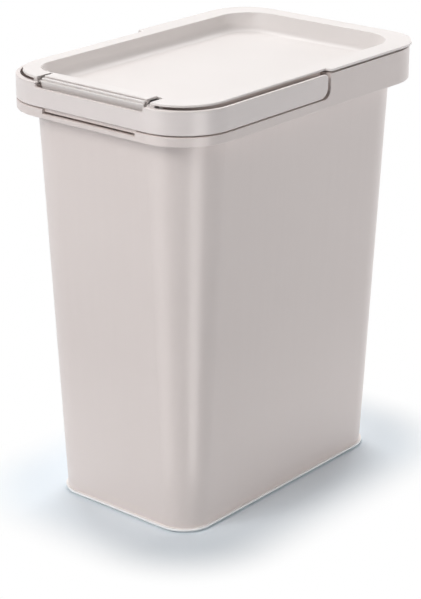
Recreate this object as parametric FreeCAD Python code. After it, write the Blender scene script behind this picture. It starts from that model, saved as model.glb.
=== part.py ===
"""A twelve litre kitchen waste bin with a carrying bow and a dished, latched lid.

Millimetres, +Z up. The origin is the middle of the base on the floor. The front is at -Y, the hinge at +Y.
"""
import FreeCAD
import Part
import os
from FreeCAD import Vector

# Driving dimensions of the rim, whose outer face the bow and the lid share
RIM_WIDTH = 194.0
RIM_LENGTH = 291.0
RIM_CORNER = 42.5
RIM_BOTTOM = 316.0
RIM_WALL = 2.4
LEDGE_TOP = 323.2
REAR_TOP = 341.9

# The tapered bucket: outer sizes at the floor and at the rim's lower edge
BASE_WIDTH = 138.6
BASE_LENGTH = 236.1
BASE_CORNER = 23.3
NECK_WIDTH = 171.0
NECK_LENGTH = 267.0
NECK_CORNER = 41.0
BUCKET_WALL = 2.2
FLOOR_THICKNESS = 3.0
UPSTAND_TOP = 342.0
FOOT_BEAD = 2.0
FOOT_BEAD_BOTTOM = 1.3
FOOT_BEAD_TOP = 3.2
FOOT_ROUNDING = 0.6
FOOT_INSET = 3.0
RIM_EDGE_ROUNDING = 0.7
LEDGE_ROUNDING = 0.6
FLOOR_ROUNDING = 6.0

# The carrying bow
BOW_BOTTOM = 324.2
BOW_TOP = 342.0
BOW_WALL = 2.2
BOW_END = 12.0
BOW_LIP_DEPTH = 4.6
BOW_LIP_THICKNESS = 1.5
BOW_END_LOWER_ROUNDING = 8.5
BOW_END_UPPER_ROUNDING = 3.5
BOW_EDGE_ROUNDING = 0.8
STEP_Y = 15.0
STEP_ROUNDING = 7.0
PIVOT_Y = BOW_END - BOW_END_LOWER_ROUNDING
PIVOT_Z = BOW_BOTTOM + BOW_END_LOWER_ROUNDING
NOTCH_HALF = 52.8
NOTCH_BOTTOM = 338.4
NOTCH_CORNER = 2.0
NOTCH_ROUNDING = 1.0

# Recess in the rim below the bow
SLOT_HALF = 45.5
SLOT_BOTTOM = 319.7
SLOT_DEPTH = 2.8
SLOT_WALL = 2.0
SLOT_FLOOR = 1.4
SLOT_ROUNDING = 1.0

# Pins of the bow
BOW_PIN_RADIUS = 2.5
BOW_PIN_HEAD_RADIUS = 4.5
BOW_PIN_HEAD = 1.2
BOSS_RADIUS = 6.0
BOSS_END = 91.2
HUB_RADIUS = 7.0
HUB_FACE = 91.7
PRESS_CLEARANCE = 0.02
RUNNING_CLEARANCE = 0.06

# The lid
LID_TOP = 345.0
LID_THICKNESS = 1.6
LID_INSET = 5.4
LID_STEP_Y = 15.2
LID_STEP_ROUNDING = 2.5
LID_REAR = 145.0
LID_REAR_CORNER = 36.0
LID_EDGE_ROUNDING = 1.0
DISH_DEPTH = 14.0
DISH_HALF_WIDTH = 79.0
DISH_FRONT = -123.8
DISH_REAR = 129.5
DISH_FRONT_CORNER = 20.0
DISH_REAR_CORNER = 30.0
DISH_SIDE_RUN = 3.0
DISH_FRONT_RUN = 6.0
DISH_REAR_RUN = 10.0
DISH_ROUNDING = 9.5
DISH_EDGE_ROUNDING = 0.8
DISH_FLOOR_FRONT_CORNER = 17.0
DISH_FLOOR_REAR_CORNER = 25.0
RIB_WALL = 1.8
RIB_BOTTOM = 338.5
RIB_CLEARANCE = 0.8

# The lid's hinge
HINGE_Y = 138.5
HINGE_Z = 339.5
KNUCKLE_RADIUS = 3.0
LID_PIN_RADIUS = 1.5
LUG_X = 48.0
LUG_WIDTH = 10.0
KNUCKLE_WIDTH = 14.0
KNUCKLE_GAP = 0.4
KNUCKLE_NECK = 2.0
POCKET_HALF = 80.5
POCKET_STOP = 1.6
POCKET_DEPTH = 8.4
POCKET_ROOM = 0.5

# The press plate that latches the lid
CATCH_HALF = 50.2
CATCH_SLIT = 5.0
CATCH_REAR = -126.3
CATCH_REAR_GAP = 0.9
CATCH_TOP = 346.0
CATCH_BROW_BOTTOM = 345.0
CATCH_UNDERSIDE = 344.4
CATCH_LIP = 2.2
CATCH_LIP_TOP = 344.9
CATCH_LIP_BOTTOM = 343.9
CATCH_LIP_OVERHANG = 0.7
CATCH_GROOVE = 0.8
CATCH_GROOVE_FLOOR = 343.5
CATCH_UNDERCUT = 0.9
CATCH_BODY_BOTTOM = 342.6
CATCH_BODY_DEPTH = 4.8
CATCH_SKIRT_TOP = 343.2
CATCH_SKIRT_BOTTOM = 335.5
CATCH_SKIRT_REACH = 1.2
CATCH_SKIRT_DRAFT = 2.1
CATCH_SKIRT_THICKNESS = 1.3
CATCH_SKIRT_ROUNDING = 1.0
CATCH_EDGE_ROUNDING = 0.5
CATCH_AXIS_Y = -137.3
CATCH_AXIS_Z = 341.2
CATCH_BARREL_RADIUS = 2.2
CATCH_PIN_RADIUS = 1.1
CATCH_LUG = 4.0
HOOK_X = 24.0
HOOK_WIDTH = 12.0
HOOK_THICKNESS = 1.7
HOOK_BOTTOM = 331.5
HOOK_BARB = 0.5
STRIKER_BOTTOM = 334.6
STRIKER_TOP = 336.6
STRIKER_REACH = 1.4
STRIKER_CLEARANCE = 0.3
UPSTAND_DIP = 4.6

# Reach of a cutting tool past the faces that it cuts
PAST = 10.0

RIM_HALF = RIM_WIDTH / 2
RIM_FRONT = -RIM_LENGTH / 2
RIM_REAR = RIM_LENGTH / 2
LID_UNDERSIDE = LID_TOP - LID_THICKNESS
LID_FRONT = RIM_FRONT + LID_INSET
LID_HALF = RIM_HALF - LID_INSET


def outline(half_width, front, rear, front_corner, rear_corner, z):
    """Closed wire of a rectangle with rounded corners, seen from above."""
    corners = (
        (half_width - front_corner, front + front_corner, front_corner, 1, -1),
        (half_width - rear_corner, rear - rear_corner, rear_corner, 1, 1),
        (-half_width + rear_corner, rear - rear_corner, rear_corner, -1, 1),
        (-half_width + front_corner, front + front_corner, front_corner, -1, -1),
    )
    arcs = []
    for x, y, radius, side, end in corners:
        across = Vector(x + side * radius, y, z)
        along = Vector(x, y + end * radius, z)
        middle = Vector(x + side * radius * 0.5 ** 0.5, y + end * radius * 0.5 ** 0.5, z)
        first, last = (along, across) if side == -end else (across, along)
        arcs.append((first, middle, last))
    edges = []
    for number, (first, middle, last) in enumerate(arcs):
        previous = arcs[number - 1][2]
        edges.append(Part.LineSegment(previous, first).toShape())
        edges.append(Part.Arc(first, middle, last).toShape())
    return Part.Wire(edges)


def prism(half_width, front, rear, front_corner, rear_corner, bottom, top):
    """Upright solid on a rounded rectangle."""
    face = Part.Face(outline(half_width, front, rear, front_corner, rear_corner, bottom))
    return face.extrude(Vector(0, 0, top - bottom))


def block(x0, x1, y0, y1, z0, z1):
    """Plain box between two corners."""
    return Part.makeBox(x1 - x0, y1 - y0, z1 - z0, Vector(x0, y0, z0))


def rod(radius, x0, x1, y, z):
    """Round bar along X."""
    return Part.makeCylinder(radius, x1 - x0, Vector(x0, y, z), Vector(1, 0, 0))


def side_profile(points, half_width):
    """Solid of a side view, given as straight and (via, end) arc steps, right across the bin."""
    edges = []
    here = Vector(-half_width, *points[0])
    start = here
    for step in points[1:]:
        if isinstance(step[0], tuple):
            via = Vector(-half_width, *step[0])
            there = Vector(-half_width, *step[1])
            edges.append(Part.Arc(here, via, there).toShape())
        else:
            there = Vector(-half_width, *step)
            edges.append(Part.LineSegment(here, there).toShape())
        here = there
    edges.append(Part.LineSegment(here, start).toShape())
    return Part.Face(Part.Wire(edges)).extrude(Vector(2 * half_width, 0, 0))


def arc_step(centre_y, centre_z, radius, via_y, via_z, end_y, end_z):
    """One quarter-round step of a side view, by the directions of its middle and its end."""
    diagonal = radius * 0.5 ** 0.5
    via = (centre_y + via_y * diagonal, centre_z + via_z * diagonal)
    end = (centre_y + end_y * radius, centre_z + end_z * radius)
    return (via, end)


def round_edges(solid, radius, chosen):
    """Fillet the edges that the test picks."""
    return solid.makeFillet(radius, [edge for edge in solid.Edges if chosen(edge)])


def at_height(z):
    """Test for edges that lie flat at a height."""
    return lambda edge: abs(edge.BoundBox.ZMin - z) < 1e-4 and abs(edge.BoundBox.ZMax - z) < 1e-4


def along_front(z):
    """Test for edges that run along the rim's front face at a height."""
    flat = at_height(z)
    return lambda edge: flat(edge) and abs(edge.BoundBox.YMax - RIM_FRONT) < 1e-4


def rising(z, base, neck):
    """Size of the bucket at a height, between those at the floor and at the rim's lower edge."""
    return base + (neck - base) * z / RIM_BOTTOM


def bucket_half(z, base, neck):
    """Half an outer size of the bucket at a height."""
    return rising(z, base, neck) / 2


def bucket_outline(z, inward):
    """Outline of the tapered bucket at a height, moved inward."""
    half_width = bucket_half(z, BASE_WIDTH, NECK_WIDTH) - inward
    half_length = bucket_half(z, BASE_LENGTH, NECK_LENGTH) - inward
    corner = rising(z, BASE_CORNER, NECK_CORNER) - inward
    return outline(half_width, -half_length, half_length, corner, corner, z)


def bucket_solid(bottom, top, inward):
    """Tapered solid between two heights."""
    return Part.makeLoft([bucket_outline(bottom, inward), bucket_outline(top, inward)], True, True)


def rebate(grow):
    """Room for the bow above the front of the rim, grown by a wall's thickness."""
    floor = LEDGE_TOP - grow
    end = STEP_Y + grow
    radius = STEP_ROUNDING + grow
    far = RIM_FRONT - PAST
    high = REAR_TOP + PAST
    corner = arc_step(end - radius, floor + radius, radius, 1, -1, 1, 0)
    return side_profile([(far, floor), (end - radius, floor), corner, (end, high), (far, high)], RIM_WIDTH)


def hinge_pocket(grow):
    """Room for the lid's hinge and for its heel, grown by a wall's thickness."""
    half = POCKET_HALF + grow
    front = HINGE_Y - KNUCKLE_RADIUS - POCKET_ROOM - grow
    shelf = HINGE_Z - KNUCKLE_RADIUS - POCKET_ROOM - grow
    stop = HINGE_Y + POCKET_STOP - grow
    floor = HINGE_Z - POCKET_DEPTH - grow
    rear = RIM_REAR + PAST
    high = REAR_TOP + PAST
    upper = block(-half, half, front, rear, shelf, high)
    lower = block(-half, half, stop, rear, floor, high)
    return upper.fuse(lower)


def make_bin_body():
    """Bucket, hollow rim with the step for the bow, front recess, pivot bosses, hinge lugs and strikers."""
    inside = bucket_solid(FLOOR_THICKNESS, UPSTAND_TOP + PAST, BUCKET_WALL)
    inside = round_edges(inside, FLOOR_ROUNDING, at_height(FLOOR_THICKNESS))
    foot = bucket_solid(FOOT_BEAD_BOTTOM, FOOT_BEAD_TOP, -FOOT_BEAD)
    foot = round_edges(foot, FOOT_ROUNDING, at_height(FOOT_BEAD_BOTTOM))
    foot = round_edges(foot, FOOT_ROUNDING, at_height(FOOT_BEAD_TOP))
    base = bucket_solid(0, FOOT_BEAD_BOTTOM, FOOT_INSET)
    bucket = bucket_solid(FOOT_BEAD_BOTTOM, UPSTAND_TOP, 0).fuse([foot, base])

    rim = prism(RIM_HALF, RIM_FRONT, RIM_REAR, RIM_CORNER, RIM_CORNER, RIM_BOTTOM, REAR_TOP)
    rim = round_edges(rim, RIM_EDGE_ROUNDING, at_height(RIM_BOTTOM))
    rim = rim.cut(rebate(0)).cut(hinge_pocket(0))
    rim = round_edges(rim, LEDGE_ROUNDING, lambda edge: at_height(LEDGE_TOP)(edge) and is_outer(edge, 0.01))
    hollow = prism(
        RIM_HALF - RIM_WALL, RIM_FRONT + RIM_WALL, RIM_REAR - RIM_WALL,
        RIM_CORNER - RIM_WALL, RIM_CORNER - RIM_WALL, RIM_BOTTOM - PAST, REAR_TOP - RIM_WALL,
    )
    hollow = hollow.cut(rebate(RIM_WALL)).cut(hinge_pocket(RIM_WALL))
    rim = rim.cut(hollow)

    slot_back = RIM_FRONT + SLOT_DEPTH
    slot = block(-SLOT_HALF, SLOT_HALF, RIM_FRONT - PAST, slot_back, SLOT_BOTTOM, LEDGE_TOP + PAST)
    rim = rim.cut(slot)
    rim = round_edges(rim, SLOT_ROUNDING, along_front(SLOT_BOTTOM))
    outer = SLOT_HALF + SLOT_WALL
    wall_start = RIM_FRONT + RIM_WALL / 2
    wall_end = -bucket_half(LEDGE_TOP, BASE_LENGTH, NECK_LENGTH) + BUCKET_WALL / 2
    rim = rim.fuse(block(-outer, outer, wall_start, wall_end, RIM_BOTTOM, RIM_BOTTOM + SLOT_FLOOR))
    for side in (-1, 1):
        start, end = sorted((side * SLOT_HALF, side * outer))
        rim = rim.fuse(block(start, end, wall_start, wall_end, RIM_BOTTOM, LEDGE_TOP - RIM_WALL / 2))

    body = bucket.fuse(rim)
    for side in (-1, 1):
        wall = bucket_half(PIVOT_Z, BASE_WIDTH, NECK_WIDTH) - BUCKET_WALL
        start, end = sorted((side * wall, side * BOSS_END))
        boss = rod(BOSS_RADIUS, start, end, PIVOT_Y, PIVOT_Z)
        foot_half = BOSS_RADIUS / 2
        foot = block(start, end, PIVOT_Y - foot_half, PIVOT_Y + foot_half, LEDGE_TOP - RIM_WALL, PIVOT_Z)
        body = body.fuse([boss, foot])
        lug_start = side * LUG_X - LUG_WIDTH / 2
        lug_end = side * LUG_X + LUG_WIDTH / 2
        body = body.fuse(rod(KNUCKLE_RADIUS, lug_start, lug_end, HINGE_Y, HINGE_Z))
        post_front = HINGE_Y - KNUCKLE_RADIUS
        post_bottom = HINGE_Z - KNUCKLE_RADIUS - 2 * POCKET_ROOM
        body = body.fuse(block(lug_start, lug_end, post_front, HINGE_Y + POCKET_STOP, post_bottom, HINGE_Z))
        face = -bucket_half(STRIKER_BOTTOM, BASE_LENGTH, NECK_LENGTH)
        hook_start = side * HOOK_X - HOOK_WIDTH / 2
        hook_end = side * HOOK_X + HOOK_WIDTH / 2
        striker = block(
            hook_start, hook_end, face - STRIKER_REACH, face + BUCKET_WALL / 2, STRIKER_BOTTOM, STRIKER_TOP,
        )
        body = body.fuse(striker)
    body = body.cut(inside)
    for side in (-1, 1):
        start, end = sorted((0, side * (BOSS_END + BOW_PIN_HEAD)))
        bore = rod(BOW_PIN_RADIUS + PRESS_CLEARANCE, start, end, PIVOT_Y, PIVOT_Z)
        lug_start = side * LUG_X - LUG_WIDTH
        lug_end = side * LUG_X + LUG_WIDTH
        lug_bore = rod(LID_PIN_RADIUS + RUNNING_CLEARANCE, lug_start, lug_end, HINGE_Y, HINGE_Z)
        body = body.cut(bore).cut(lug_bore)
    dip_half = CATCH_HALF + 2 * CATCH_SLIT
    dip = block(-dip_half, dip_half, RIM_FRONT, CATCH_REAR, UPSTAND_TOP - UPSTAND_DIP, UPSTAND_TOP + PAST)
    return body.cut(dip).removeSplitter()


def make_carry_handle():
    """U-shaped bow with an inner lip in front, a notch for the press plate's skirt, and two pivot hubs."""
    outside = prism(RIM_HALF, RIM_FRONT, RIM_REAR, RIM_CORNER, RIM_CORNER, BOW_BOTTOM, BOW_TOP)
    skin_corner = RIM_CORNER - BOW_WALL
    skin_half = RIM_HALF - BOW_WALL
    skin_front = RIM_FRONT + BOW_WALL
    inside = prism(
        skin_half, skin_front, RIM_REAR + PAST, skin_corner, skin_corner,
        BOW_BOTTOM - PAST, BOW_TOP - BOW_LIP_THICKNESS,
    )
    lip_front = RIM_FRONT + BOW_LIP_DEPTH
    lip_corner = RIM_CORNER - (BOW_WALL + BOW_LIP_DEPTH) / 2
    above = prism(
        skin_half, lip_front, RIM_REAR + PAST, lip_corner, skin_corner,
        BOW_TOP - BOW_LIP_THICKNESS - 1, BOW_TOP + PAST,
    )
    lower = BOW_END_LOWER_ROUNDING
    upper = BOW_END_UPPER_ROUNDING
    far = RIM_FRONT - PAST
    side_view = side_profile(
        [
            (far, BOW_BOTTOM),
            (BOW_END - lower, BOW_BOTTOM),
            arc_step(BOW_END - lower, BOW_BOTTOM + lower, lower, 1, -1, 1, 0),
            (BOW_END, BOW_TOP - upper),
            arc_step(BOW_END - upper, BOW_TOP - upper, upper, 1, 1, 0, 1),
            (far, BOW_TOP),
        ],
        RIM_WIDTH,
    )
    bow = outside.cut(inside).cut(above).common(side_view)
    bow = round_edges(
        bow, BOW_EDGE_ROUNDING,
        lambda edge: at_height(BOW_TOP)(edge) and is_outer(edge, 0.01) and edge.BoundBox.YMin < BOW_END,
    )
    notch = block(-NOTCH_HALF, NOTCH_HALF, RIM_FRONT - PAST, lip_front + PAST, NOTCH_BOTTOM, BOW_TOP + PAST)
    notch = round_edges(
        notch, NOTCH_CORNER,
        lambda edge: at_height(NOTCH_BOTTOM)(edge) and edge.BoundBox.XLength < NOTCH_CORNER,
    )
    bow = round_edges(bow.cut(notch), NOTCH_ROUNDING, along_front(NOTCH_BOTTOM))
    for side in (-1, 1):
        hub_start, hub_end = sorted((side * HUB_FACE, side * (skin_half + BOW_WALL / 2)))
        bow = bow.fuse(rod(HUB_RADIUS, hub_start, hub_end, PIVOT_Y, PIVOT_Z))
        hole_start, hole_end = sorted((side * (HUB_FACE - 1), side * (RIM_HALF - BOW_WALL / 2)))
        bow = bow.cut(rod(BOW_PIN_RADIUS + RUNNING_CLEARANCE, hole_start, hole_end, PIVOT_Y, PIVOT_Z))
    return bow.removeSplitter()


def is_outer(edge, slack):
    """Whether a flat edge follows the rim's outer face."""
    middle = edge.valueAt((edge.FirstParameter + edge.LastParameter) / 2)
    wire = outline(RIM_HALF, RIM_FRONT, RIM_REAR, RIM_CORNER, RIM_CORNER, middle.z)
    return wire.distToShape(Part.Vertex(middle))[0] < slack


def make_handle_pin(side):
    """Headed pin put in from inside the bin, pressed into the boss."""
    wall_face = bucket_half(PIVOT_Z - BOW_PIN_HEAD_RADIUS, BASE_WIDTH, NECK_WIDTH) - BUCKET_WALL
    head_face = wall_face - PRESS_CLEARANCE
    tip = RIM_HALF - BOW_WALL / 2 - 4 * RUNNING_CLEARANCE
    shank_start, shank_end = sorted((side * head_face, side * tip))
    head_start, head_end = sorted((side * (head_face - BOW_PIN_HEAD), side * head_face))
    shank = rod(BOW_PIN_RADIUS, shank_start, shank_end, PIVOT_Y, PIVOT_Z)
    return shank.fuse(rod(BOW_PIN_HEAD_RADIUS, head_start, head_end, PIVOT_Y, PIVOT_Z)).removeSplitter()


def dish(grow, top, floor):
    """Room of the dish with a rounded bed, grown outward, between two heights."""
    mouth = outline(
        DISH_HALF_WIDTH + grow, DISH_FRONT - grow, DISH_REAR + grow,
        DISH_FRONT_CORNER + grow, DISH_REAR_CORNER + grow, top,
    )
    bed = outline(
        DISH_HALF_WIDTH - DISH_SIDE_RUN + grow, DISH_FRONT + DISH_FRONT_RUN - grow,
        DISH_REAR - DISH_REAR_RUN + grow,
        DISH_FLOOR_FRONT_CORNER + grow, DISH_FLOOR_REAR_CORNER + grow, floor,
    )
    return round_edges(Part.makeLoft([mouth, bed], True, True), DISH_ROUNDING + grow, at_height(floor))


def at_mouth(edge):
    """Whether an edge runs round the mouth of the dish."""
    box = edge.BoundBox
    across = max(abs(box.XMin), abs(box.XMax)) < DISH_HALF_WIDTH + 1
    along = box.YMin > DISH_FRONT - 1 and box.YMax < DISH_REAR + 1
    return at_height(LID_TOP)(edge) and across and along


def make_lid():
    """Dished plate, narrow in front and full width behind, with its locating rib, knuckles and catch lugs."""
    front_corner = RIM_CORNER - LID_INSET
    front = prism(LID_HALF, LID_FRONT, LID_STEP_Y + PAST, front_corner, 1, LID_UNDERSIDE, LID_TOP)
    rear = prism(
        RIM_HALF, LID_STEP_Y, LID_REAR, LID_STEP_ROUNDING, LID_REAR_CORNER, LID_UNDERSIDE, LID_TOP,
    )
    plate = front.fuse(rear).removeSplitter()
    plate = round_edges(plate, LID_EDGE_ROUNDING, at_height(LID_TOP))
    wall = LID_THICKNESS / 2
    lid = plate.fuse(dish(wall, LID_UNDERSIDE, LID_UNDERSIDE - DISH_DEPTH))
    lid = lid.cut(dish(0, LID_TOP, LID_TOP - DISH_DEPTH))
    lid = round_edges(lid, DISH_EDGE_ROUNDING, at_mouth)

    reach = BUCKET_WALL + RIB_CLEARANCE
    half = bucket_half(RIB_BOTTOM, BASE_WIDTH, NECK_WIDTH) - reach
    length = bucket_half(RIB_BOTTOM, BASE_LENGTH, NECK_LENGTH) - reach
    corner = rising(RIB_BOTTOM, BASE_CORNER, NECK_CORNER) - reach
    rib = prism(half, -length, length, corner, corner, RIB_BOTTOM, LID_UNDERSIDE)
    rib_room = prism(
        half - RIB_WALL, -length + RIB_WALL, length - RIB_WALL, corner - RIB_WALL, corner - RIB_WALL,
        RIB_BOTTOM - PAST, LID_TOP,
    )
    lid = lid.fuse(rib.cut(rib_room))

    notch_half = CATCH_HALF + CATCH_SLIT
    notch_rear = CATCH_REAR + CATCH_REAR_GAP
    notch = block(-notch_half, notch_half, LID_FRONT - PAST, notch_rear, RIB_BOTTOM - PAST, LID_TOP + PAST)
    lid = lid.cut(notch)

    for side in (-1, 1):
        for end in (-1, 1):
            near = side * LUG_X + end * (LUG_WIDTH / 2 + KNUCKLE_GAP)
            start, stop = sorted((near, near + end * KNUCKLE_WIDTH))
            knuckle = rod(KNUCKLE_RADIUS, start, stop, HINGE_Y, HINGE_Z)
            neck = block(
                start, stop, HINGE_Y - KNUCKLE_RADIUS, HINGE_Y + KNUCKLE_NECK, HINGE_Z, LID_UNDERSIDE + wall,
            )
            lid = lid.fuse(knuckle.fuse(neck))
        lug_start, lug_end = sorted((side * notch_half, side * (notch_half + CATCH_LUG)))
        lug = rod(CATCH_BARREL_RADIUS, lug_start, lug_end, CATCH_AXIS_Y, CATCH_AXIS_Z)
        lug_neck = block(
            lug_start, lug_end, CATCH_AXIS_Y - CATCH_BARREL_RADIUS, CATCH_AXIS_Y + CATCH_BARREL_RADIUS,
            CATCH_AXIS_Z, LID_UNDERSIDE + wall,
        )
        lid = lid.fuse(lug.fuse(lug_neck))
    outer_end = LUG_WIDTH / 2 + KNUCKLE_GAP + KNUCKLE_WIDTH
    for side in (-1, 1):
        start = side * LUG_X - outer_end
        lid = lid.cut(rod(LID_PIN_RADIUS + PRESS_CLEARANCE, start, start + 2 * outer_end, HINGE_Y, HINGE_Z))
    lug_reach = notch_half + CATCH_LUG
    catch_bore = rod(CATCH_PIN_RADIUS + PRESS_CLEARANCE, -lug_reach, lug_reach, CATCH_AXIS_Y, CATCH_AXIS_Z)
    return lid.cut(catch_bore).removeSplitter()


def make_lid_pin(side):
    """Plain pin through a lug of the body and the two knuckles beside it."""
    reach = LUG_WIDTH / 2 + KNUCKLE_GAP + KNUCKLE_WIDTH
    return rod(LID_PIN_RADIUS, side * LUG_X - reach, side * LUG_X + reach, HINGE_Y, HINGE_Z)


def make_lid_catch():
    """Raised press plate with a lip and a skirt in front, a barrel under it and two hook legs."""
    front = LID_FRONT
    groove_start = front + CATCH_LIP
    groove_end = groove_start + CATCH_GROOVE
    body_front = front + CATCH_LIP_OVERHANG
    body_rear = body_front + CATCH_BODY_DEPTH
    skirt_front = front - CATCH_SKIRT_REACH
    foot_front = skirt_front + CATCH_SKIRT_DRAFT
    plate = side_profile(
        [
            (front, CATCH_LIP_BOTTOM),
            (front, CATCH_LIP_TOP),
            (groove_start, CATCH_LIP_TOP),
            (groove_start, CATCH_GROOVE_FLOOR),
            (groove_end + CATCH_UNDERCUT, CATCH_GROOVE_FLOOR),
            (groove_end + CATCH_UNDERCUT, CATCH_BROW_BOTTOM),
            (groove_end, CATCH_BROW_BOTTOM),
            (groove_end, CATCH_TOP),
            (CATCH_REAR, CATCH_TOP),
            (CATCH_REAR, CATCH_UNDERSIDE),
            (body_rear, CATCH_UNDERSIDE),
            (body_rear, CATCH_BODY_BOTTOM),
            (skirt_front + CATCH_SKIRT_THICKNESS, CATCH_BODY_BOTTOM),
            (foot_front + CATCH_SKIRT_THICKNESS, CATCH_SKIRT_BOTTOM),
            (foot_front, CATCH_SKIRT_BOTTOM),
            (skirt_front, CATCH_SKIRT_TOP),
            (body_front, CATCH_SKIRT_TOP),
            (body_front, CATCH_LIP_BOTTOM),
        ],
        CATCH_HALF,
    )
    plate = round_edges(
        plate, CATCH_SKIRT_ROUNDING,
        lambda edge: at_height(CATCH_SKIRT_TOP)(edge) and abs(edge.BoundBox.YMax - skirt_front) < 1e-4,
    )
    plate = round_edges(plate, CATCH_EDGE_ROUNDING, at_height(CATCH_TOP))
    plate = round_edges(plate, CATCH_EDGE_ROUNDING, at_height(CATCH_LIP_TOP))
    barrel = rod(CATCH_BARREL_RADIUS, -CATCH_HALF, CATCH_HALF, CATCH_AXIS_Y, CATCH_AXIS_Z)
    catch = plate.fuse(barrel)
    striker_tip = -bucket_half(STRIKER_BOTTOM, BASE_LENGTH, NECK_LENGTH) - STRIKER_REACH
    barb_tip = striker_tip - STRIKER_CLEARANCE
    leg_rear = barb_tip - HOOK_BARB
    for side in (-1, 1):
        start = side * HOOK_X - HOOK_WIDTH / 2
        end = side * HOOK_X + HOOK_WIDTH / 2
        leg = block(start, end, leg_rear - HOOK_THICKNESS, leg_rear, HOOK_BOTTOM, CATCH_AXIS_Z)
        barb = block(start, end, leg_rear, barb_tip, HOOK_BOTTOM, STRIKER_BOTTOM - STRIKER_CLEARANCE)
        catch = catch.fuse([leg, barb])
    bore = rod(CATCH_PIN_RADIUS + RUNNING_CLEARANCE, -CATCH_HALF, CATCH_HALF, CATCH_AXIS_Y, CATCH_AXIS_Z)
    return catch.cut(bore).removeSplitter()


def make_catch_pin():
    """Long pin of the press plate, held in the lid's lugs."""
    reach = CATCH_HALF + CATCH_SLIT + CATCH_LUG
    return rod(CATCH_PIN_RADIUS, -reach, reach, CATCH_AXIS_Y, CATCH_AXIS_Z)


pieces = {
    "bin_body": make_bin_body(),
    "carry_handle": make_carry_handle(),
    "handle_pin_left": make_handle_pin(-1),
    "handle_pin_right": make_handle_pin(1),
    "lid": make_lid(),
    "lid_pin_left": make_lid_pin(-1),
    "lid_pin_right": make_lid_pin(1),
    "lid_catch": make_lid_catch(),
    "catch_pin": make_catch_pin(),
}
os.makedirs("parts", exist_ok=True)
for name, shape in pieces.items():
    solid = shape.Solids[0] if len(shape.Solids) == 1 else shape
    solid.exportStep(os.path.join("parts", name + ".step"))
    print(name, len(shape.Solids), "solid", "valid" if solid.isValid() else "not valid")
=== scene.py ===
import math
import bpy
from mathutils import Matrix, Vector


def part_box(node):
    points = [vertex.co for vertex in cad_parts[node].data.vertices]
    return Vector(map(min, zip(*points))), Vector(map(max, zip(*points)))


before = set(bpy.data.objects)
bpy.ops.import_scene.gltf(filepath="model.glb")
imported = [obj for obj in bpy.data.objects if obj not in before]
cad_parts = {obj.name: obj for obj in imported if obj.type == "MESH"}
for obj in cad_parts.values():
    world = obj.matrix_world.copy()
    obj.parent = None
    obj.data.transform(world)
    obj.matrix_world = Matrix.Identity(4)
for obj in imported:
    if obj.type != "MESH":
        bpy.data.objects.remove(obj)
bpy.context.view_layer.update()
scene = bpy.context.scene

# Bin body: a tall tapered bucket with a hollow rim, moulded in one shot from warm light grey polypropylene.
# Its eroded tool leaves a fine dull grain and a slow mottle. Low down the wall is painted paler, standing in
# for light bounced up off the floor, and the bead round the foot is painted near white as a painted
# highlight.


class Shade:
    """A shader socket that takes part in sums, so that a finish reads as arithmetic."""

    def __init__(self, tree, socket):
        self.tree = tree
        self.socket = socket

    def join(self, into, value):
        """Link a shade, or set a plain value."""
        if isinstance(value, Shade):
            self.tree.links.new(value.socket, into)
        else:
            into.default_value = value

    def node(self, kind, settings, sockets, output=0):
        """A node of that kind with its settings, then its inputs by name or number; gives one output."""
        made = self.tree.nodes.new(kind)
        for name, value in settings.items():
            setattr(made, name, value)
        for name, value in sockets.items():
            self.join(made.inputs[name], value)
        return Shade(self.tree, made.outputs[output])

    def maths(self, operation, first, second):
        return self.node("ShaderNodeMath", {"operation": operation}, {0: first, 1: second})

    def __add__(self, other):
        return self.maths("ADD", self, other)

    def __radd__(self, other):
        return self.maths("ADD", other, self)

    def __sub__(self, other):
        return self.maths("SUBTRACT", self, other)

    def __rsub__(self, other):
        return self.maths("SUBTRACT", other, self)

    def __mul__(self, other):
        return self.maths("MULTIPLY", self, other)

    def __rmul__(self, other):
        return self.maths("MULTIPLY", other, self)

    def __abs__(self):
        return self.maths("ABSOLUTE", self, 0.0)

    def noise(self, scale, detail=2.0):
        """Cloudy noise about 0.5 over this place, in cells per metre."""
        return self.node("ShaderNodeTexNoise", {}, {"Vector": self, "Scale": scale, "Detail": detail}, "Fac")

    def stretched(self, x, y, z):
        """This place with each axis scaled, so that noise over it runs long where the scale is low."""
        return self.node("ShaderNodeVectorMath", {"operation": "MULTIPLY"}, {0: self, 1: (x, y, z)})

    def axis(self, name):
        """One coordinate of this place."""
        return self.node("ShaderNodeSeparateXYZ", {}, {"Vector": self}, name)

    def between(self, low, high):
        """0 at low, 1 at high, smooth between; low may be above high."""
        sockets = {"Value": self, "From Min": low, "From Max": high}
        return self.node("ShaderNodeMapRange", {"interpolation_type": "SMOOTHSTEP"}, sockets)

    def blend(self, first, second):
        """Mix of two colours by this value."""
        made = self.tree.nodes.new("ShaderNodeMix")
        made.data_type = "RGBA"
        self.join(made.inputs["Factor"], self)
        for socket, colour in zip(made.inputs[6:8], (first, second)):
            self.join(socket, colour if isinstance(colour, Shade) else (*colour, 1.0))
        return Shade(self.tree, made.outputs[2])


def new_finish(name):
    """A new material: its shader, and the place on the piece in metres."""
    made = bpy.data.materials.new(name)
    made.use_nodes = True
    tree = made.node_tree
    shader = tree.nodes["Principled BSDF"]
    shader.inputs["IOR"].default_value = 1.49
    place = Shade(tree, tree.nodes.new("ShaderNodeTexCoord").outputs["Object"])
    return made, shader, place


def eroded_grain(place, shader, cells, depth):
    """Bump of a spark-eroded tool; gives the grain's height."""
    coarse = place.noise(cells, 2.0)
    fine = place.noise(cells * 2.7, 1.0)
    height = 0.65 * coarse + 0.35 * fine
    sockets = {"Strength": 0.5, "Distance": depth, "Height": height}
    place.join(shader.inputs["Normal"], place.node("ShaderNodeBump", {}, sockets))
    return height


def dress(node, finish):
    """Give a solid of the frame its finish."""
    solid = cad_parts[node]
    solid.data.materials.clear()
    solid.data.materials.append(finish)


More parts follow.
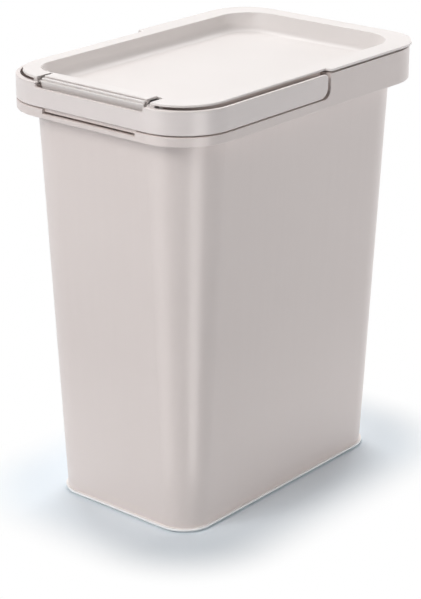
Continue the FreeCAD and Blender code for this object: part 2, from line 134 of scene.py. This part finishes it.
wall_pale = (0.742, 0.652, 0.618)
wall_deep = (0.716, 0.628, 0.595)
# Painted light: a paler wall colour towards the foot, standing in for light bounced off the floor.
floor_bounce_painted_pale = (0.800, 0.708, 0.672)
floor_bounce_painted_reach = 0.16
# Painted highlight: a near-white colour for the bead round the foot.
bead_painted_highlight_pale = (0.970, 0.962, 0.955)
bead_top = 0.0036
body_finish, shader, place = new_finish("eroded_wall_plastic")
grain = eroded_grain(place, shader, 1300.0, 0.00005)
mottle = place.noise(9.0, 3.0)
draw_marks = place.stretched(1.0, 1.0, 0.05).noise(160.0, 2.0)
tone = 0.55 * mottle + 0.25 * grain + 0.20 * draw_marks
wall = tone.between(0.3, 0.7).blend(wall_deep, wall_pale)
# Painted light: the wall blends to that paler colour below a set height, lightest at the foot.
wall = place.axis("Z").between(floor_bounce_painted_reach, 0.0).blend(wall, floor_bounce_painted_pale)
# Painted highlight: the foot and its bead are painted near white in patches, and their roughness rises
# there.
bead_painted_highlight = place.axis("Z").between(bead_top, 0.8 * bead_top) * place.noise(260.0, 3.0).between(0.0, 0.35)
place.join(shader.inputs["Base Color"], bead_painted_highlight.blend(wall, bead_painted_highlight_pale))
place.join(shader.inputs["Roughness"], 0.31 + 0.10 * (grain - 0.5) + 0.06 * (mottle - 0.5) + 0.12 * bead_painted_highlight)
dress("bin_body", body_finish)

# Handle pins: two headed polypropylene pins put in from inside and pressed into the body's bosses.
# Each is moulded smooth, with the faint rings of a turned tool.
pin_pale = (0.640, 0.590, 0.570)
pin_deep = (0.600, 0.552, 0.532)
pin_finish, shader, place = new_finish("smooth_pin_plastic")
rings = place.stretched(1.0, 0.02, 0.02).noise(2200.0, 1.0)
cloud = place.noise(120.0, 2.0)
tone = 0.5 * rings + 0.5 * cloud
place.join(shader.inputs["Base Color"], tone.between(0.3, 0.7).blend(pin_deep, pin_pale))
place.join(shader.inputs["Roughness"], 0.34 + 0.12 * (rings - 0.5) + 0.08 * (cloud - 0.5))
sockets = {"Strength": 0.3, "Distance": 0.00003, "Height": rings}
place.join(shader.inputs["Normal"], place.node("ShaderNodeBump", {}, sockets))
dress("handle_pin_left", pin_finish)
dress("handle_pin_right", pin_finish)

# Carrying handle: a flat U-shaped bow that lies flush round the front of the rim and swings up on its pins.
# It is moulded from the same plastic in a finer grained tool, and hands have smoothed it along the grip.
bow_pale = (0.775, 0.697, 0.671)
bow_deep = (0.745, 0.669, 0.643)
grip_reach = 0.062
grip_from = 0.004
grip_to = 0.012
bow_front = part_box("carry_handle")[0][1]
bow_finish, shader, place = new_finish("fine_grained_bow_plastic")
grain = eroded_grain(place, shader, 1600.0, 0.00004)
mottle = place.noise(12.0, 3.0)
flow = place.stretched(0.08, 0.08, 1.0).noise(240.0, 2.0)
tone = 0.5 * mottle + 0.25 * grain + 0.25 * flow
place.join(shader.inputs["Base Color"], tone.between(0.3, 0.7).blend(bow_deep, bow_pale))
across = abs(place.axis("X"))
at_front = place.axis("Y").between(bow_front + grip_to, bow_front + grip_from)
handled = across.between(grip_reach, 0.5 * grip_reach) * at_front
place.join(shader.inputs["Roughness"], 0.33 + 0.10 * (grain - 0.5) + 0.08 * (mottle - 0.5) - 0.04 * handled)
dress("carry_handle", bow_finish)

# Lid: a thin plate with a shallow rounded dish, moulded in the same plastic and hinged along the rim's rear.
# Its tool is finer still, so that it wipes clean; wiping leaves faint long strokes in the gloss of the dish.
lid_pale = (0.790, 0.738, 0.716)
lid_deep = (0.762, 0.710, 0.688)
lid_finish, shader, place = new_finish("satin_lid_plastic")
grain = eroded_grain(place, shader, 1900.0, 0.00003)
mottle = place.noise(11.0, 3.0)
strokes = place.stretched(1.0, 0.12, 1.0).noise(70.0, 3.0)
tone = 0.6 * mottle + 0.25 * grain + 0.15 * strokes
place.join(shader.inputs["Base Color"], tone.between(0.3, 0.7).blend(lid_deep, lid_pale))
wear = 0.10 * (grain - 0.5) + 0.08 * (mottle - 0.5) + 0.10 * (strokes - 0.5)
place.join(shader.inputs["Roughness"], 0.40 + wear)
dress("lid", lid_finish)

# Lid pins: two plain polypropylene rods, moulded smooth like the handle's pins.
# Each is pressed into a knuckle under the lid's rear edge and turns in a lug of the body.
dress("lid_pin_left", pin_finish)
dress("lid_pin_right", pin_finish)

# Press plate: the separate tongue in the lid's front edge that unlatches it, with two hook legs below.
# It is moulded smooth, rocks on its own pin, and thumbs have polished the middle of its top.
plate_pale = (0.800, 0.750, 0.728)
plate_deep = (0.775, 0.725, 0.703)
thumb_reach = 0.030
plate_finish, shader, place = new_finish("smooth_press_plate_plastic")
grain = eroded_grain(place, shader, 1900.0, 0.00002)
mottle = place.noise(30.0, 3.0)
tone = 0.7 * mottle + 0.3 * grain
place.join(shader.inputs["Base Color"], tone.between(0.3, 0.7).blend(plate_deep, plate_pale))
across = abs(place.axis("X"))
thumbed = across.between(thumb_reach, 0.3 * thumb_reach)
place.join(shader.inputs["Roughness"], 0.38 + 0.10 * (grain - 0.5) + 0.10 * (mottle - 0.5) - 0.05 * thumbed)
dress("lid_catch", plate_finish)

# Press plate's pin: one long smooth polypropylene rod across the lid's front.
# It is held in two small lugs under the lid, and the plate's barrel rocks on it.
dress("catch_pin", pin_finish)

# Floor: a wide sheet of pale paper, faintly cool, that carries the bin's soft shadow.
# A hand's breadth away from the foot it is plain white to the eye.
floor_reach = 6.0
paper_pale = (0.82, 0.88, 0.93)
paper_deep = (0.808, 0.867, 0.916)
foot_half_width = 0.071
foot_half_length = 0.120
foot_corner = 0.025
white_from = 0.018
white_by = 0.085
mesh = bpy.data.meshes.new("floor")
corners = [(x * floor_reach, y * floor_reach, 0.0) for x, y in ((-1, -1), (1, -1), (1, 1), (-1, 1))]
mesh.from_pydata(corners, [], [(0, 1, 2, 3)])
floor = bpy.data.objects.new("floor", mesh)
scene.collection.objects.link(floor)


def seen_directly(tree):
    """1 for rays from the camera or off something shiny or clear, 0 for light that falls on other things."""
    path = tree.nodes.new("ShaderNodeLightPath")
    camera, glossy, clear = (
        Shade(tree, path.outputs[name]) for name in ("Is Camera Ray", "Is Glossy Ray", "Is Transmission Ray")
    )
    return camera.maths("MAXIMUM", camera, camera.maths("MAXIMUM", glossy, clear))


paper, shader, place = new_finish("pale_paper")
tree = paper.node_tree
fibre = place.noise(400.0, 3.0)
aside = abs(place.axis("X")) - (foot_half_width - foot_corner)
ahead = abs(place.axis("Y")) - (foot_half_length - foot_corner)
past_side = place.maths("MAXIMUM", aside, 0.0)
past_end = place.maths("MAXIMUM", ahead, 0.0)
from_foot = place.maths("SQRT", past_side * past_side + past_end * past_end, 0.0) - foot_corner
place.join(shader.inputs["Base Color"], fibre.blend(paper_deep, paper_pale))
shader.inputs["Roughness"].default_value = 0.9
shader.inputs["Specular IOR Level"].default_value = 0.1
away = from_foot.between(white_from, white_by) * seen_directly(tree)
white = place.node("ShaderNodeEmission", {}, {"Color": (1.0, 1.0, 1.0, 1.0), "Strength": 1.0})
lit = Shade(tree, shader.outputs[0])
shown = place.node("ShaderNodeMixShader", {}, {0: away, 1: lit, 2: white})
place.join(tree.nodes["Material Output"].inputs["Surface"], shown)
mesh.materials.append(paper)

# Studio: a broad soft box above the left and back lights the top, and three stacked before the front wash
# that wall. Weaker ones stand at the right and low behind, and two narrow upright cards close to the near
# corner draw soft light lines down it.
aim = Vector((0.0, 0.0, 0.17))


def towards(azimuth, elevation):
    """Direction from the bin, with the azimuth counted from its front towards its right."""
    turn = math.radians(azimuth)
    rise = math.radians(elevation)
    return Vector((math.cos(rise) * math.sin(turn), -math.cos(rise) * math.cos(turn), math.sin(rise)))


def soft_lamp(name, width, height, power):
    """A rectangular lamp, still to be placed."""
    data = bpy.data.lights.new(name, "AREA")
    data.shape = "RECTANGLE"
    data.size = width
    data.size_y = height
    data.energy = power
    made = bpy.data.objects.new(name, data)
    scene.collection.objects.link(made)
    return made


def soft_box(name, azimuth, elevation, distance, width, height, power):
    """A soft box aimed at the bin."""
    made = soft_lamp(name, width, height, power)
    outward = towards(azimuth, elevation)
    made.location = aim + distance * outward
    made.rotation_mode = "QUATERNION"
    made.rotation_quaternion = (-outward).to_track_quat("-Z", "Y")


card_gap = 0.08
card_overlap = 1.2


def gloss_card(name, foot, rim, azimuth, width, power):
    """An upright card along a line of the wall from foot to rim, seen only in the gloss of the plastic."""
    made = soft_lamp(name, width, card_overlap * (rim - foot).length, power)
    outward = towards(azimuth, 0.0)
    along = (rim - foot).normalized()
    across = along.cross(outward).normalized()
    facing = across.cross(along)
    placed = Matrix((across, along, facing)).transposed().to_4x4()
    placed.translation = (foot + rim) / 2 + card_gap * outward
    made.matrix_world = placed
    made.visible_camera = False
    made.visible_diffuse = False


soft_box("above_left_behind", -140.0, 50.0, 2.2, 1.8, 1.4, 36.0)
soft_box("front_low", -12.0, 14.0, 2.4, 1.0, 1.5, 8.1)
soft_box("front_middle", -12.0, 36.0, 2.2, 1.2, 0.7, 18.0)
soft_box("front_high", -12.0, 52.0, 2.2, 1.4, 0.8, 7.5)
soft_box("right", 92.0, 22.0, 2.2, 1.2, 0.7, 9.2)
soft_box("right_behind", 128.0, 8.0, 2.2, 0.9, 0.8, 6.8)
soft_box("behind", 172.0, 6.0, 2.2, 0.8, 0.6, 8.4)
soft_box("behind_left", -164.0, 8.0, 2.2, 0.8, 0.6, 4.8)
near_foot = Vector((0.0648, -0.1084, 0.0))
near_rim = Vector((0.0777, -0.1166, 0.316))
gloss_card("near_line", near_foot, near_rim, 69.0, 0.045, 0.19)
front_foot = Vector((0.0516, -0.1173, 0.0))
front_rim = Vector((0.0544, -0.1323, 0.316))
gloss_card("front_line", front_foot, front_rim, -12.0, 0.06, 0.10)

world = bpy.data.worlds.new("studio")
scene.world = world
world.use_nodes = True
backdrop = world.node_tree.nodes["Background"]
backdrop.inputs["Color"].default_value = (1.0, 1.0, 1.0, 1.0)
seen = seen_directly(world.node_tree)
seen.join(backdrop.inputs["Strength"], seen)

# Camera: a long lens, forty degrees round to the bin's right and looking down on it by twenty-one.
# It is aimed a little under the middle of the bin, which fills the upright frame.
camera_place = Vector((0.9669, -1.1558, 0.7206))
camera_aim = Vector((-0.0085, 0.0014, 0.1406))
scene.view_settings.view_transform = "Standard"
camera_data = bpy.data.cameras.new("camera")
camera_data.sensor_width = 36.0
camera_data.lens = 121.3
camera = bpy.data.objects.new("camera", camera_data)
camera.location = camera_place
camera.rotation_mode = "QUATERNION"
camera.rotation_quaternion = (camera_aim - camera_place).to_track_quat("-Z", "Y")
scene.collection.objects.link(camera)
scene.camera = camera
